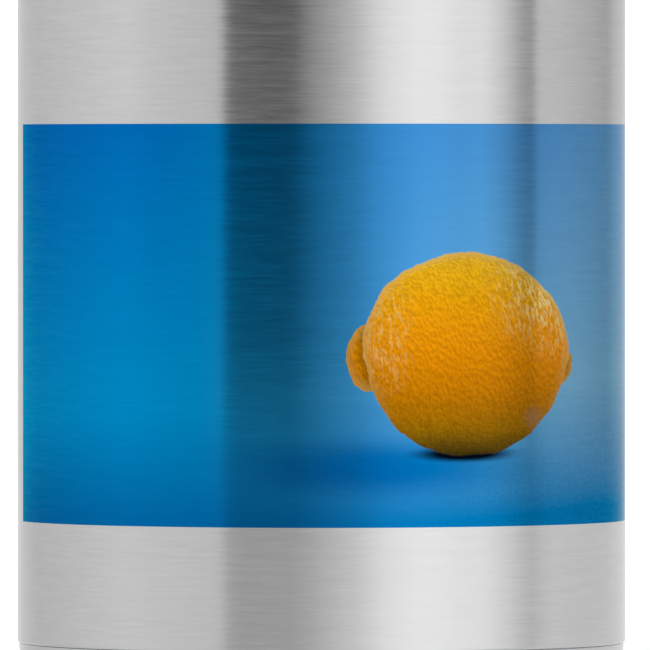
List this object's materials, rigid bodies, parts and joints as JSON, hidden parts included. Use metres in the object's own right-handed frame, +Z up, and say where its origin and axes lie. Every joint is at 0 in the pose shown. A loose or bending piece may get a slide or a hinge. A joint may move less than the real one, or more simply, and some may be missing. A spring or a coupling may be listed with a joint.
{
  "type": "insulated stainless steel bottle",
  "caption": "Vacuum-insulated drinking bottle: brushed steel body with a printed picture band, screw lid with gasket, and a swinging carry handle.",
  "frame": {"origin": "centre of the face that the bottle stands on", "axes": "+Z up along the bottle's axis, -Y towards the middle of the printed picture, +X along the handle's pins"},
  "size_m": [0.073, 0.073, 0.2295],
  "materials": {
    "brushed_body": "brushed round the body, fine horizontal grain",
    "plain_steel": "electropolished, satin",
    "foil": "bright crinkled foil",
    "seal_glass": "fused sealing glass, gloss",
    "silicone": "moulded silicone, matt",
    "black_plastic": "moulded polypropylene with a fine texture",
    "foam": "closed-cell foam"
  },
  "bodies": {
    "bottle": {"outer_shell": "brushed_body", "inner_liner": "plain_steel", "reflector_foil": "foil", "getter": "plain_steel", "base_cup": "brushed_body", "evacuation_seal": "seal_glass", "base_pad": "silicone"},
    "seal": {"lid_gasket": "silicone"},
    "lid": {"lid_shell": "black_plastic", "lid_liner": "black_plastic", "lid_foam": "foam", "plate_tape": "foam", "lid_plate": "brushed_body", "handle_pin_left": "plain_steel", "handle_pin_right": "plain_steel"},
    "handle": {"carry_handle": "black_plastic"}
  },
  "joints": [
    {"name": "lid_rise", "type": "slide", "parent": "bottle", "child": "seal", "axis": [0, 0, 1], "range_m": [0, 0.006]},
    {"name": "lid_turn", "type": "hinge", "parent": "seal", "child": "lid", "pos_m": [0, 0, 0.188], "axis": [0, 0, 1], "range_deg": [0, 540]},
    {"name": "handle_swing", "type": "hinge", "parent": "lid", "child": "handle", "pos_m": [0, 0, 0.191], "axis": [1, 0, 0], "range_deg": [-115, 115]}
  ],
  "couplings": [
    {"joint": "lid_rise", "follows": "lid_turn", "m_per_rad": 0.00063661}
  ]
}
